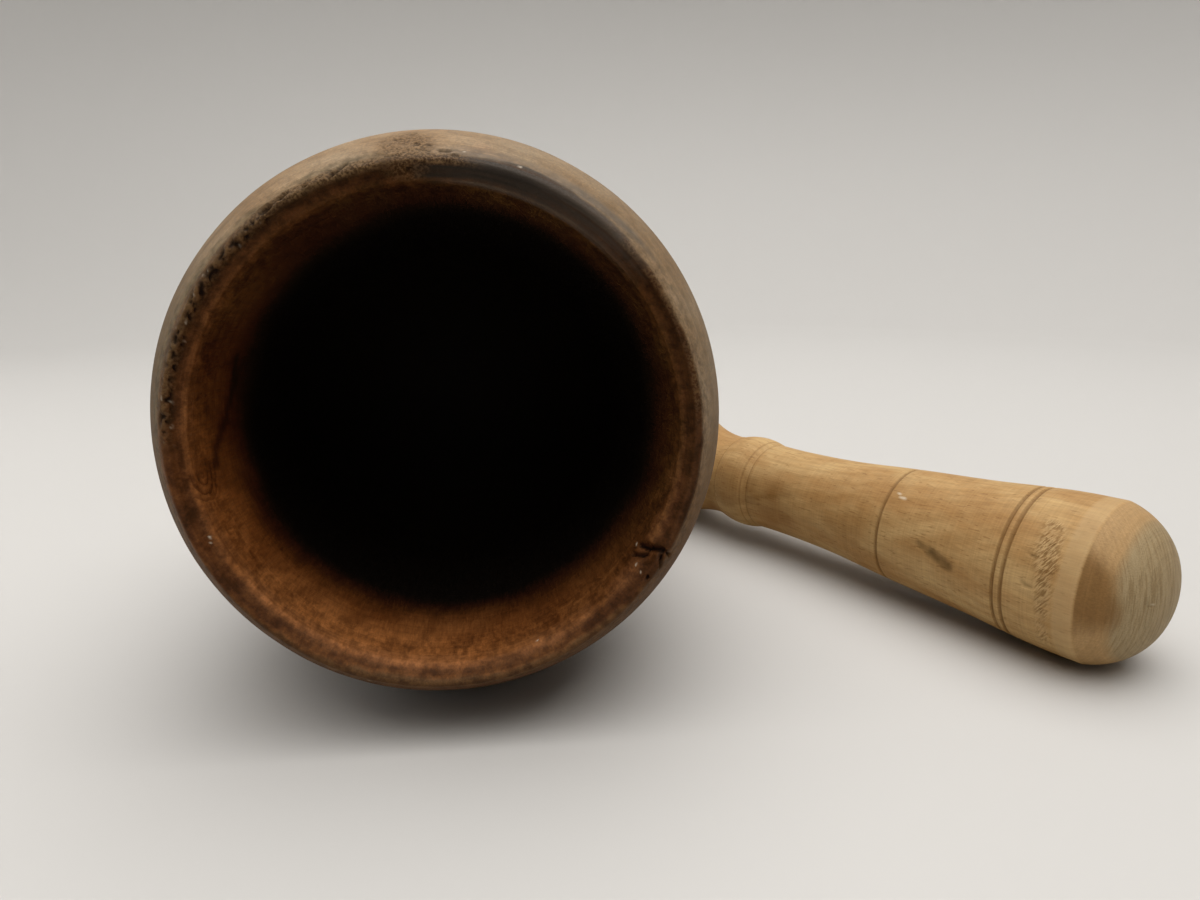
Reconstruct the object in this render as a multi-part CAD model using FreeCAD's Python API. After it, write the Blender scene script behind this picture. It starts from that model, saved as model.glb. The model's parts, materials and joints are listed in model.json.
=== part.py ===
import FreeCAD, Part
import math
import os

# A wooden mortar lying on its side, with its turned pestle lying on the same surface beside it.
# Both are solids of revolution. An outline point is (radius, station), in millimetres, where the
# station runs along the turned piece's own axis.

# Mortar: station 0 is the flat base and the last station is the rim of the mouth.
MORTAR_HEIGHT = 120.0
BELLY_RADIUS = 60.0
BELLY_STATION = 87.0
LOWER_BELLY_CURVE = 150.0
FOOT_RADIUS = 52.5
FOOT_STATION = 8.0
FOOT_BEAD = 12.0
WAIST_COVE = 16.0
LIP_ROUND = 2.2
WALL_TAPER = math.radians(8.0)
CAVITY_FLOOR = 30.0

# Pestle: station 0 is the edge of the pounding dome, and stations grow towards the grip.
DOME_HEIGHT = 14.0
DOME_FACE_CURVE = 25.0
DOME_EDGE_ANGLE = math.radians(15.0)
HEAD_RADIUS = 20.0
TAPER = [(19.75, 9.0), (17.6, 31.0), (15.9, 52.0), (13.9, 73.0), (13.2, 92.0)]
BEAD_START = (13.3, 101.0)
BEAD_CREST = (14.4, 107.5)
BEAD_END = (13.1, 114.0)
NECK = (12.9, 117.0)
GRIP_RADIUS = 18.5
GRIP_STATION = 147.0
GRIP_COVE = 40.0
GRIP_TIP = 170.0
GROOVES = [(19.2, 16.2), (19.0, 18.4), (15.9, 52.3)]
GROOVE_WIRE = 0.5

# Where the pestle lies, measured from the middle of the mortar's belly.
HEAD_X = 151.6
HEAD_Y = -18.6
PESTLE_HEADING = math.radians(123.0)


def point(radius, station):
    return FreeCAD.Vector(radius, 0, station)


def line(start, end):
    return Part.makeLine(point(*start), point(*end))


def arc(start, middle, end):
    return Part.Arc(point(*start), point(*middle), point(*end)).toShape()


def on_circle(centre, radius, angle):
    """The outline point of a circle, with the angle measured from straight out of the axis."""
    return (centre[0] + radius * math.cos(angle), centre[1] + radius * math.sin(angle))


def circle_arc(centre, radius, start_angle, end_angle):
    middle_angle = (start_angle + end_angle) / 2
    return arc(
        on_circle(centre, radius, start_angle),
        on_circle(centre, radius, middle_angle),
        on_circle(centre, radius, end_angle),
    )


def angle_to(start, end):
    return math.atan2(end[1] - start[1], end[0] - start[0])


def distance(start, end):
    return math.hypot(end[0] - start[0], end[1] - start[1])


def cove_centre(low, low_distance, high, high_distance):
    """The point at both given distances from two outline points, on the outer side of the outline."""
    span = distance(low, high)
    along = (low_distance**2 - high_distance**2 + span**2) / (2 * span)
    across = math.sqrt(low_distance**2 - along**2)
    heading = angle_to(low, high)
    return (
        low[0] + along * math.cos(heading) + across * math.sin(heading),
        low[1] + along * math.sin(heading) - across * math.cos(heading),
    )


def revolve(edges):
    face = Part.Face(Part.Wire(edges))
    axis_point = FreeCAD.Vector(0, 0, 0)
    return Part.makeSolid(face.revolve(axis_point, FreeCAD.Vector(0, 0, 1), 360).Shells[0])


FOOT_CENTRE = (FOOT_RADIUS - FOOT_BEAD, FOOT_STATION)
LOWER_BELLY_CENTRE = (BELLY_RADIUS - LOWER_BELLY_CURVE, BELLY_STATION)


def mortar_outside():
    """Foot bead, waist cove, lower belly and the ball-shaped upper belly, up to the lip."""
    waist = cove_centre(
        FOOT_CENTRE,
        FOOT_BEAD + WAIST_COVE,
        LOWER_BELLY_CENTRE,
        LOWER_BELLY_CURVE + WAIST_COVE,
    )
    base_angle = -math.asin(FOOT_STATION / FOOT_BEAD)
    foot_end = angle_to(FOOT_CENTRE, waist)
    belly_start = angle_to(LOWER_BELLY_CENTRE, waist)
    lip = lip_centre()
    lip_angle = angle_to((0, BELLY_STATION), lip)
    base_corner = on_circle(FOOT_CENTRE, FOOT_BEAD, base_angle)
    waist_start = angle_to(waist, FOOT_CENTRE) + 2 * math.pi
    waist_end = angle_to(waist, LOWER_BELLY_CENTRE)
    return [
        line((0, 0), base_corner),
        circle_arc(FOOT_CENTRE, FOOT_BEAD, base_angle, foot_end),
        circle_arc(waist, WAIST_COVE, waist_start, waist_end),
        circle_arc(LOWER_BELLY_CENTRE, LOWER_BELLY_CURVE, belly_start, 0),
        circle_arc((0, BELLY_STATION), BELLY_RADIUS, 0, lip_angle),
        circle_arc(lip, LIP_ROUND, lip_angle, math.pi - WALL_TAPER),
    ]


def lip_centre():
    station = MORTAR_HEIGHT - LIP_ROUND
    reach = BELLY_RADIUS - LIP_ROUND
    return (math.sqrt(reach**2 - (station - BELLY_STATION) ** 2), station)


def mortar_inside():
    """The tapered wall and the round bottom of the cavity, from the lip to the axis."""
    wall_top = on_circle(lip_centre(), LIP_ROUND, math.pi - WALL_TAPER)
    drop = wall_top[1] - CAVITY_FLOOR
    level_radius = (wall_top[0] - drop * math.tan(WALL_TAPER)) * math.cos(WALL_TAPER)
    bowl_radius = level_radius / (1 - math.sin(WALL_TAPER))
    bowl_centre = (0, CAVITY_FLOOR + bowl_radius)
    wall_foot = on_circle(bowl_centre, bowl_radius, -WALL_TAPER)
    return [
        line(wall_top, wall_foot),
        circle_arc(bowl_centre, bowl_radius, -WALL_TAPER, -math.pi / 2),
        line((0, CAVITY_FLOOR), (0, 0)),
    ]


def rest_tilt():
    """How far the mortar's axis rises towards its mouth when belly and foot both touch the surface."""
    span = distance(FOOT_CENTRE, LOWER_BELLY_CENTRE)
    slope = math.atan2(
        LOWER_BELLY_CENTRE[0] - FOOT_CENTRE[0], LOWER_BELLY_CENTRE[1] - FOOT_CENTRE[1]
    )
    return slope + math.asin((LOWER_BELLY_CURVE - FOOT_BEAD) / span)


def make_mortar():
    """The mortar on its side, mouth towards -Y, with the middle of its belly above the origin."""
    tilt = rest_tilt()
    solid = revolve(mortar_outside() + mortar_inside())
    belly_height = LOWER_BELLY_CENTRE[0] * math.cos(tilt) + LOWER_BELLY_CURVE
    base = FreeCAD.Vector(
        0, BELLY_STATION * math.cos(tilt), belly_height - BELLY_STATION * math.sin(tilt)
    )
    turn = FreeCAD.Rotation(FreeCAD.Vector(1, 0, 0), 90 - math.degrees(tilt))
    solid.Placement = FreeCAD.Placement(base, turn)
    return solid


def grip_circle():
    """Centre and radius of the grip's crown, which meets the cove above the neck smoothly."""
    out = NECK[0] + GRIP_COVE - GRIP_RADIUS
    rise = GRIP_STATION - NECK[1]
    radius = (out**2 + rise**2 - GRIP_COVE**2) / (2 * (GRIP_COVE - out))
    return (GRIP_RADIUS - radius, GRIP_STATION), radius


def grip_outline():
    """The cove above the neck, the crown of the grip and its round end."""
    cove = (NECK[0] + GRIP_COVE, NECK[1])
    crown, crown_radius = grip_circle()
    reach = GRIP_TIP - GRIP_STATION
    end_radius = (crown_radius**2 - crown[0] ** 2 - reach**2) / (2 * (crown_radius - reach))
    end_centre = (0, GRIP_TIP - end_radius)
    cove_end = angle_to(cove, crown)
    crown_start = angle_to(crown, cove)
    crown_end = angle_to(crown, end_centre)
    return [
        circle_arc(cove, GRIP_COVE, math.pi, cove_end),
        circle_arc(crown, crown_radius, crown_start, crown_end),
        circle_arc(end_centre, end_radius, crown_end, math.pi / 2),
    ]


def dome_outline():
    """The flattened face of the pounding dome and its shoulder, which meets the head at a crisp edge."""
    face = (0, DOME_FACE_CURVE - DOME_HEIGHT)
    lean = HEAD_RADIUS * math.cos(DOME_EDGE_ANGLE) + face[1] * math.sin(DOME_EDGE_ANGLE)
    gap = HEAD_RADIUS**2 + face[1] ** 2 - DOME_FACE_CURVE**2
    shoulder_radius = gap / (2 * (lean - DOME_FACE_CURVE))
    shoulder = on_circle((HEAD_RADIUS, 0), -shoulder_radius, -DOME_EDGE_ANGLE)
    join = angle_to(face, shoulder)
    return [
        circle_arc(face, DOME_FACE_CURVE, -math.pi / 2, join),
        circle_arc(shoulder, shoulder_radius, join, -DOME_EDGE_ANGLE),
    ]


def taper_outline():
    """The long taper from the head to the bead, and the bead."""
    taper = Part.BSplineCurve()
    taper.interpolate([point(*p) for p in [(HEAD_RADIUS, 0)] + TAPER + [BEAD_START]])
    return [
        taper.toShape(),
        arc(BEAD_START, BEAD_CREST, BEAD_END),
        line(BEAD_END, NECK),
    ]


def make_pestle():
    """The pestle lying at its heading, with the dome's edge and the grip both on the surface."""
    axis = line((0, GRIP_TIP), (0, -DOME_HEIGHT))
    solid = revolve(dome_outline() + taper_outline() + grip_outline() + [axis])
    for radius, station in GROOVES:
        ring = Part.makeTorus(radius, GROOVE_WIRE, FreeCAD.Vector(0, 0, station))
        solid = solid.cut(ring).Solids[0]
    crown, crown_radius = grip_circle()
    fall = HEAD_RADIUS - crown[0]
    dip = math.acos(crown_radius / math.hypot(fall, GRIP_STATION)) - math.atan2(GRIP_STATION, fall)
    head = FreeCAD.Vector(HEAD_X, HEAD_Y, HEAD_RADIUS * math.cos(dip))
    heading = FreeCAD.Vector(
        math.cos(PESTLE_HEADING) * math.cos(dip),
        math.sin(PESTLE_HEADING) * math.cos(dip),
        -math.sin(dip),
    )
    turn = FreeCAD.Rotation(FreeCAD.Vector(0, 0, 1), heading)
    solid.Placement = FreeCAD.Placement(head, turn).multiply(solid.Placement)
    return solid


def main():
    mortar = make_mortar()
    pestle = make_pestle()
    both = Part.makeCompound([mortar, pestle]).optimalBoundingBox()
    shift = FreeCAD.Vector(-both.Center.x, -both.Center.y, -both.ZMin)
    os.makedirs("parts", exist_ok=True)
    for name, shape in (("mortar", mortar), ("pestle", pestle)):
        shape.translate(shift)
        shape.exportStep(f"parts/{name}.step")
        box = shape.optimalBoundingBox()
        print(name, "valid", shape.isValid(), "volume", round(shape.Volume), "box", box)


main()
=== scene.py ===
import json
import math

import bpy
import numpy as np
from mathutils import Matrix, Vector


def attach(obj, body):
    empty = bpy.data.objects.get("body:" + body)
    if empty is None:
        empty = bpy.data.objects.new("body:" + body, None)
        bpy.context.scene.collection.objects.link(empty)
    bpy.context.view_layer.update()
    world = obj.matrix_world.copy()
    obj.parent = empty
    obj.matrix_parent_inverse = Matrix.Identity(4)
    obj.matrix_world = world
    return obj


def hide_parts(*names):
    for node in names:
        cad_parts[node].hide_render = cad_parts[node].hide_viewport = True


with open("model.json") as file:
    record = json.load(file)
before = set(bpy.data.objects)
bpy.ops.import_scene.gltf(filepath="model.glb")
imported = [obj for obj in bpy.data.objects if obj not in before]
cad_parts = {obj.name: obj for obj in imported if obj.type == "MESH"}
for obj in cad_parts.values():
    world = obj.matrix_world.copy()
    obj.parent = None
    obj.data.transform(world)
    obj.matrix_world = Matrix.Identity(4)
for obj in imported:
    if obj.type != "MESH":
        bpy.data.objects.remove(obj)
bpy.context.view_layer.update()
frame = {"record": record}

# A turned wooden mortar on its side and its pestle. Outline points are (radius, station) in millimetres,
# with the station along the turned piece's own axis. Angles round a piece are in degrees, anticlockwise
# as seen from the end with the highest station. 0 is to the right of the mortar's mouth, and roughly towards
# the camera on the pestle. 90 is the top of each.
MM = 0.001

# Mortar: station 0 is the flat base, and the mouth is the last station.
MORTAR_HEIGHT = 120.0
BELLY_RADIUS = 60.0
BELLY_STATION = 87.0
LOWER_BELLY_CURVE = 150.0  # radius of the arc from the waist to the belly
FOOT_RADIUS = 52.5
FOOT_STATION = 8.0
FOOT_BEAD = 12.0  # radius of the foot's rounded side
WAIST_COVE = 16.0  # radius of the hollow between foot and belly
LIP_ROUND = 2.2  # radius of the plain lip that the worn one is made from
WALL_TAPER = math.radians(8.0)
CAVITY_FLOOR = 30.0
LIP_EDGE_ROUND = 1.0  # radius of the worn lip's outer edge
RIDGE_ROUND = 1.8  # radius of the ridge where the worn lip meets the wall
RIDGE_STATION = 116.0
WALL_LIT_MIDDLE = 236.0  # degrees, where the wall is painted lightest, as the most lit
KNOT = (189.2, 113.2)  # degrees, station
MORTAR_PITH = (-0.013, 0.008)  # where the tree's middle passes, in metres from the mortar's axis

# The mortar's mesh is finer at the lip: beyond these stations, and outside this radius.
LIP_ROWS_FROM = 108.0
LIP_VERTICES_FROM = 110.0
LIP_FINEST_FROM = 112.0
LIP_MESH_RADIUS = 40.0

# How far past the very top of the lip, inwards in millimetres, the dark handled wood starts, by degrees.
DARK_STARTS = [
    (0, -2.0), (30, -0.6), (68, -4.0), (90, -2.0), (125, -3.2), (178, -3.2),
    (215, -0.8), (255, 1.2), (310, 0.0), (345, -2.4), (360, -2.0),
]

# How far past the top of the lip the outside's colours end, about where the wall's cover them.
OUTSIDE_ENDS = 3.0

# Marks on the lip and the wall. A place is in degrees and then how far past the top of the lip, as above.
HOLES = [  # wormholes: place, half width round the piece, half width along it
    (121.5, -1.9, 2.0, 1.1), (125.3, -1.5, 1.9, 1.4), (116.0, -1.0, 0.8, 0.6),
    (86.9, -3.8, 1.4, 0.7), (84.8, -2.3, 0.9, 0.6), (322.9, 0.4, 0.5, 0.4),
]
SPLITS = [  # from one place to another, half width
    ((107.0, -2.9), (110.0, -1.2), 0.75), ((108.5, -1.5), (110.5, -0.6), 0.6),
    ((327.3, 8.4), (328.4, 5.6), 0.5), ((328.4, 5.6), (330.2, 0.8), 0.75),
    ((329.0, 0.9), (326.7, -1.2), 0.6), ((330.1, -0.6), (329.6, -3.0), 0.5),
    ((324.4, 8.4), (326.6, 5.2), 0.65),
]
CHIP = (327.0, 5.0)  # place
WALL_STREAK = [(162.0, 23.5), (169.0, 25.0), (178.0, 21.5), (184.5, 16.0), (188.0, 14.5)]  # places
LIP_FLECKS = [  # place, radius
    (71.5, -3.2, 0.45), (326.8, 9.6, 0.42), (323.4, 4.6, 0.26), (322.7, 2.4, 0.24), (203.0, 3.4, 0.40),
    (204.2, 2.8, 0.26), (292.0, 5.4, 0.34), (83.0, -4.2, 0.34), (252.0, -2.5, 0.3),
]

# Pestle: station 0 is the edge of the pounding dome, and stations grow towards the grip.
DOME_HEIGHT = 14.0
DOME_FACE_CURVE = 25.0  # radius of the arc over the dome's middle
DOME_EDGE_ANGLE = math.radians(15.0)
HEAD_RADIUS = 20.0
TAPER = [(19.75, 9.0), (17.6, 31.0), (15.9, 52.0), (13.9, 73.0), (13.2, 92.0)]
BEAD_START = (13.3, 101.0)
BEAD_CREST = (14.4, 107.5)
BEAD_END = (13.1, 114.0)
NECK = (12.9, 117.0)
GRIP_RADIUS = 18.5
GRIP_STATION = 147.0
GRIP_COVE = 40.0  # radius of the hollow from the neck to the grip
GRIP_TIP = 170.0
GROOVES = [(16.2, 0.42, 0.6), (18.4, 0.42, 0.6), (52.3, 0.38, 0.6)]  # station, depth, half width
BEAD_LINES = [(100.4, 0.16, 0.4), (102.6, 0.14, 0.4), (113.4, 0.16, 0.4)]  # the same
DEEP_CUT = 0.4  # a groove this deep or deeper is fully darkened
DOME_EDGE_OUTSIDE = 15.0  # radius that the dome's edge lies outside
SIDE_OUTSIDE = 11.0  # radius that the side with the grooves lies outside
CRESCENTS = [(7.0, 9.8, 1.6), (26.0, 10.2, 0.8), (11.0, -17.0, 1.2)]  # degrees, along from the edge, reach
PESTLE_FLECKS = [(45.3, 47.9, 0.55), (49.0, 49.6, 0.3), (9.0, -17.6, 0.35)]  # and half width
SCRATCH_SLANT = math.radians(35.0)
DOME_GRAIN_SLANT = math.radians(35.0)
PESTLE_HEADING = math.radians(123.0)  # of its grip, anticlockwise from the row's X
HEAD_FROM_BELLY = (151.6, -18.6)  # along X and Y, from the belly's middle to the dome's edge's middle

# Camera, measured from the middle of the mortar's belly, in metres and radians.
CAMERA_OFFSET = Vector((0.0112, -0.1989))
CAMERA_HEIGHT = 0.1062
CAMERA_TURN = math.radians(6.54)
CAMERA_DIP = math.radians(15.44)
LENS = 27.0  # millimetres
SENSOR = 36.0  # millimetres
TOE = 0.018  # the brightness that the toe halves
TOE_LEVELS = (0.01, 0.03, 0.08, 0.2)

# Studio: a round floor that bends up into a wall, in metres, with its middle on the row's Y axis.
WALL_REACH = 1.1
WALL_HEIGHT = 1.6
FLOOR_BEND = 0.35  # radius
FLOOR_MIDDLE = -0.2
WORLD_STRENGTH = 0.02  # of the dim light from all round


# ---------------- outlines


def on_circle(centre, radius, angle):
    return (centre[0] + radius * math.cos(angle), centre[1] + radius * math.sin(angle))


def circle_arc(centre, radius, start_angle, end_angle, count=80):
    return [on_circle(centre, radius, angle) for angle in np.linspace(start_angle, end_angle, count)]


def angle_to(start, end):
    return math.atan2(end[1] - start[1], end[0] - start[0])


def distance(start, end):
    return math.hypot(end[0] - start[0], end[1] - start[1])


def cove_centre(low, low_distance, high, high_distance):
    """The point at both given distances from two outline points, on the outer side of the outline."""
    span = distance(low, high)
    along = (low_distance**2 - high_distance**2 + span**2) / (2 * span)
    across = math.sqrt(low_distance**2 - along**2)
    heading = angle_to(low, high)
    return (
        low[0] + along * math.cos(heading) + across * math.sin(heading),
        low[1] + along * math.sin(heading) - across * math.cos(heading),
    )


def wall_line():
    """The top of the cavity's straight wall, as on the plain round lip that the real lip is worn from."""
    station = MORTAR_HEIGHT - LIP_ROUND
    radius = math.sqrt((BELLY_RADIUS - LIP_ROUND) ** 2 - (station - BELLY_STATION) ** 2)
    return on_circle((radius, station), LIP_ROUND, math.pi - WALL_TAPER)


def bowl_circle():
    """The centre and radius of the cavity's round bottom, which the straight wall runs into."""
    wall_top = wall_line()
    drop = wall_top[1] - CAVITY_FLOOR
    level_radius = (wall_top[0] - drop * math.tan(WALL_TAPER)) * math.cos(WALL_TAPER)
    bowl_radius = level_radius / (1 - math.sin(WALL_TAPER))
    return (0, CAVITY_FLOOR + bowl_radius), bowl_radius


def lip_rounds():
    """The centres of the round on the lip's outer edge and of the ridge where the lip meets the wall."""
    edge_station = MORTAR_HEIGHT - LIP_EDGE_ROUND
    edge_reach = BELLY_RADIUS - LIP_EDGE_ROUND
    edge = (math.sqrt(edge_reach**2 - (edge_station - BELLY_STATION) ** 2), edge_station)
    wall_top = wall_line()
    wall_radius = wall_top[0] - (wall_top[1] - RIDGE_STATION) * math.tan(WALL_TAPER)
    return edge, on_circle((wall_radius, RIDGE_STATION), RIDGE_ROUND, -WALL_TAPER)


def mortar_outline():
    """From the middle of the base, up the outside, over the lip and down to the bottom of the cavity."""
    foot = (FOOT_RADIUS - FOOT_BEAD, FOOT_STATION)
    belly = (BELLY_RADIUS - LOWER_BELLY_CURVE, BELLY_STATION)
    waist = cove_centre(foot, FOOT_BEAD + WAIST_COVE, belly, LOWER_BELLY_CURVE + WAIST_COVE)
    base_angle = -math.asin(FOOT_STATION / FOOT_BEAD)
    edge, ridge = lip_rounds()
    edge_angle = angle_to((0, BELLY_STATION), edge)
    face_angle = angle_to(ridge, edge) + math.pi / 2
    bowl, bowl_radius = bowl_circle()
    points = [(0, 0)]
    points += circle_arc(foot, FOOT_BEAD, base_angle, angle_to(foot, waist))
    points += circle_arc(waist, WAIST_COVE, angle_to(waist, foot) + 2 * math.pi, angle_to(waist, belly))
    points += circle_arc(belly, LOWER_BELLY_CURVE, angle_to(belly, waist), 0)
    points += circle_arc((0, BELLY_STATION), BELLY_RADIUS, 0, edge_angle)
    points += circle_arc(edge, LIP_EDGE_ROUND, edge_angle, face_angle)
    points += circle_arc(ridge, RIDGE_ROUND, face_angle, math.pi - WALL_TAPER)
    points += circle_arc(bowl, bowl_radius, -WALL_TAPER, -math.pi / 2)
    return points


def grip_circle():
    """The centre and radius of the arc over the grip's widest place, where the neck's hollow ends."""
    out = NECK[0] + GRIP_COVE - GRIP_RADIUS
    rise = GRIP_STATION - NECK[1]
    radius = (out**2 + rise**2 - GRIP_COVE**2) / (2 * (GRIP_COVE - out))
    return (GRIP_RADIUS - radius, GRIP_STATION), radius


def smooth_through(points, count=12):
    """A smooth curve through the points, as Hermite spans with slopes from the neighbours."""
    knots = np.array(points, float)
    slopes = np.gradient(knots[:, 0], knots[:, 1])
    curve = []
    for i in range(len(knots) - 1):
        span = knots[i + 1, 1] - knots[i, 1]
        for t in np.linspace(0, 1, count, endpoint=False):
            radius = (
                (2 * t**3 - 3 * t**2 + 1) * knots[i, 0]
                + (t**3 - 2 * t**2 + t) * span * slopes[i]
                + (3 * t**2 - 2 * t**3) * knots[i + 1, 0]
                + (t**3 - t**2) * span * slopes[i + 1]
            )
            curve.append((radius, knots[i, 1] + t * span))
    return curve


def pestle_outline():
    """From the tip of the dome, along the taper, bead and grip, to the grip's round end."""
    face = (0, DOME_FACE_CURVE - DOME_HEIGHT)
    lean = HEAD_RADIUS * math.cos(DOME_EDGE_ANGLE) + face[1] * math.sin(DOME_EDGE_ANGLE)
    gap = HEAD_RADIUS**2 + face[1] ** 2 - DOME_FACE_CURVE**2
    shoulder_radius = gap / (2 * (lean - DOME_FACE_CURVE))
    shoulder = on_circle((HEAD_RADIUS, 0), -shoulder_radius, -DOME_EDGE_ANGLE)
    join = angle_to(face, shoulder)
    bead_half = (BEAD_END[1] - BEAD_START[1]) / 2
    bead_rise = BEAD_CREST[0] - BEAD_START[0]
    bead_curve = (bead_half**2 + bead_rise**2) / (2 * bead_rise)
    bead_angle = math.asin(bead_half / bead_curve)
    bead = (BEAD_CREST[0] - bead_curve, BEAD_CREST[1])
    cove = (NECK[0] + GRIP_COVE, NECK[1])
    crown, crown_radius = grip_circle()
    reach = GRIP_TIP - GRIP_STATION
    end_radius = (crown_radius**2 - crown[0] ** 2 - reach**2) / (2 * (crown_radius - reach))
    end = (0, GRIP_TIP - end_radius)
    points = circle_arc(face, DOME_FACE_CURVE, -math.pi / 2, join)
    points += circle_arc(shoulder, shoulder_radius, join, -DOME_EDGE_ANGLE)
    points += smooth_through([(HEAD_RADIUS, 0)] + TAPER + [BEAD_START])
    points += circle_arc(bead, bead_curve, -bead_angle, bead_angle)
    points += circle_arc(cove, GRIP_COVE, math.pi, angle_to(cove, crown))
    points += circle_arc(crown, crown_radius, angle_to(crown, cove), angle_to(crown, end))
    points += circle_arc(end, end_radius, angle_to(crown, end), math.pi / 2)
    return points


# ---------------- turned meshes

# Millimetres: outline points this close are one, and rings this small are one vertex.
SAME_POINT = 1e-6
ON_AXIS = 1e-3
HEADING_STEP = 0.02
FEWEST_AROUND = 12


class Turned:
    """A turned piece as rings of vertices, with each vertex's place on it ready for detail to be added.

    radius, station and angle are in the piece's own frame, and along is the length of outline from its
    start. out_radius and out_station are the outward direction. All lengths are in millimetres. lift is how
    far each vertex is moved outwards, and masks holds a number from 0 to 1 for each vertex by mask name."""

    def __init__(self, outline, spacing, around):
        self.outline = outline
        rows, normals, places = self.cut_rows(spacing)
        self.counts = self.ring_counts(rows, around)
        repeated = [np.repeat(values, self.counts) for values in (*rows.T, *normals.T, places)]
        self.radius, self.station, self.out_radius, self.out_station, self.along = repeated
        turns = [np.arange(count) / count * 2 * math.pi for count in self.counts]
        self.angle = np.concatenate(turns)
        self.lift = np.zeros(len(self.angle))
        self.masks = {}

    def cut_rows(self, spacing):
        """The outline cut into rows. spacing(radius, station) gives the step from each row to the next."""
        path = np.array(self.outline, float)
        steps = np.hypot(*np.diff(path, axis=0).T)
        path = path[np.concatenate([[True], steps > SAME_POINT])]
        length = np.concatenate([[0], np.cumsum(np.hypot(*np.diff(path, axis=0).T))])

        def at(places):
            return np.column_stack([np.interp(places, length, path[:, k]) for k in (0, 1)])

        places = [0.0]
        while places[-1] < length[-1]:
            radius, station = at(places[-1])[0]
            places.append(places[-1] + spacing(radius, station))
        places = np.array(places) * length[-1] / places[-1]
        rows = at(places)
        heading = at(places + HEADING_STEP) - at(places - HEADING_STEP)
        heading /= np.linalg.norm(heading, axis=1, keepdims=True)
        return rows, np.column_stack([heading[:, 1], -heading[:, 0]]), places

    @staticmethod
    def ring_counts(rows, around):
        """How many vertices each ring has. around(radius, station) gives a number and a gap, and the number
        is halved while the vertices are closer than the gap."""
        counts = []
        for radius, station in rows:
            count, gap = around(radius, station)
            while count > FEWEST_AROUND and 2 * math.pi * radius / count < gap:
                count //= 2
            counts.append(1 if radius < ON_AXIS else count)
        return counts

    def points(self):
        radius = self.radius + self.lift * self.out_radius
        station = self.station + self.lift * self.out_station
        return np.column_stack([radius * np.cos(self.angle), radius * np.sin(self.angle), station])

    def faces(self):
        starts = np.concatenate([[0], np.cumsum(self.counts)])
        faces = []
        for i in range(len(self.counts) - 1):
            faces += self.faces_between(starts[i], self.counts[i], starts[i + 1], self.counts[i + 1])
        return faces

    @staticmethod
    def faces_between(a, here, b, there):
        """Faces from ring a to ring b, where a ring has as many vertices as the other, or half, or one."""
        if here == 1:
            return [(a, b + (k + 1) % there, b + k) for k in range(there)]
        if there == 1:
            return [(a + k, a + (k + 1) % here, b) for k in range(here)]
        faces = []
        if here == there:
            for k in range(here):
                after = (k + 1) % here
                faces.append((a + k, a + after, b + after, b + k))
        elif there == 2 * here:
            for k in range(here):
                after = (k + 1) % here
                left, middle, right = b + 2 * k, b + 2 * k + 1, b + (2 * k + 2) % there
                faces += [(a + k, middle, left), (a + k, a + after, middle), (a + after, right, middle)]
        elif here == 2 * there:
            for k in range(there):
                after = (k + 1) % there
                left, middle, right = a + 2 * k, a + 2 * k + 1, a + (2 * k + 2) % here
                faces += [(left, middle, b + k), (middle, b + after, b + k), (middle, right, b + after)]
        else:
            raise ValueError(f"rings of {here} and {there} vertices do not join")
        return faces

    def off(self, degrees, along):
        """How far each vertex is from a place on the piece: round it and along it, in millimetres."""
        turn = (self.angle - math.radians(degrees) + math.pi) % (2 * math.pi) - math.pi
        return turn * self.radius, self.along - along

    def spot(self, degrees, along, half_round, half_along, sharp=2.0):
        """1 at a place, falling to 0 at the edge of an ellipse round it. sharp is how flat its middle is."""
        around, up = self.off(degrees, along)
        reach = np.sqrt((around / half_round) ** 2 + (up / half_along) ** 2)
        return np.clip(1 - reach**sharp, 0, 1)

    def stroke(self, start, end, half_width):
        """1 along a line between two places, each (degrees, along), falling to 0 at its edges."""
        around, up = self.off(*start)
        run_around = math.radians((end[0] - start[0] + 180) % 360 - 180) * self.radius
        run_up = end[1] - start[1]
        length_squared = np.maximum(run_around**2 + run_up**2, 1e-9)
        share = (around * run_around + up * run_up) / length_squared
        share = np.clip(share, 0, 1)
        reach = np.hypot(around - share * run_around, up - share * run_up)
        return np.clip(1 - (reach / half_width) ** 2, 0, 1)

    def arc_mask(self, start, end, fade):
        """1 between two angles, in degrees, fading to 0 outside them."""
        middle = math.radians((start + end) / 2)
        turn = np.abs((self.angle - middle + math.pi) % (2 * math.pi) - math.pi)
        return np.clip((math.radians((end - start) / 2 + fade) - turn) / math.radians(fade), 0, 1)

    def band(self, start, end, fade):
        """1 between two places along the outline, fading to 0 outside them."""
        rising = (self.along - start + fade) / fade
        falling = (end - self.along + fade) / fade
        return smooth(np.clip(np.minimum(rising, falling), 0, 1))

    def noise(self, size, seed, octaves=2, stretch=1.0):
        """Noise from -1 to 1 with lumps of about the given size, stretched along the axis."""
        points = self.points() / size
        points[:, 2] /= stretch
        return fractal(points, seed, octaves)

    def streaks(self, across, around, seed):
        """Noise from -1 to 1 in streaks that run round the piece, of the given width and length."""
        points = [self.along / across, self.angle * self.radius / around, np.zeros(len(self.along))]
        return fractal(np.column_stack(points), seed, 2)

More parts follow.
